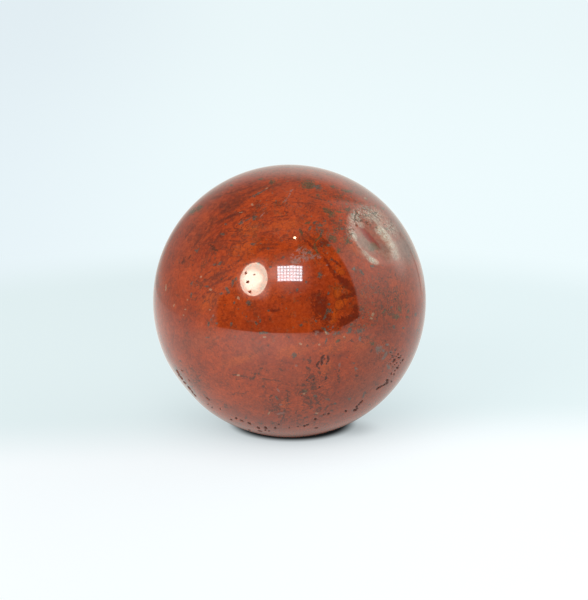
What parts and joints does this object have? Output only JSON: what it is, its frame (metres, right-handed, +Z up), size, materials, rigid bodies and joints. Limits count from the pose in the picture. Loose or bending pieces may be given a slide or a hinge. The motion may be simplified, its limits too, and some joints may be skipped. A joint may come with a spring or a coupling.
{
  "type": "red jasper sphere",
  "caption": "Polished red jasper ball with an oval hollow and small natural pits, for display on a flat surface.",
  "frame": {"origin": "middle of the small flat that the stone rests on, on the surface under it", "axes": "+Z up, +X to the viewer's right, -Y towards the viewer, who sees the hollow at the upper right"},
  "size_m": [0.06, 0.06, 0.0597],
  "materials": {
    "jasper": "polished"
  },
  "bodies": {
    "root": {"jasper_sphere": "jasper"}
  },
  "joints": []
}
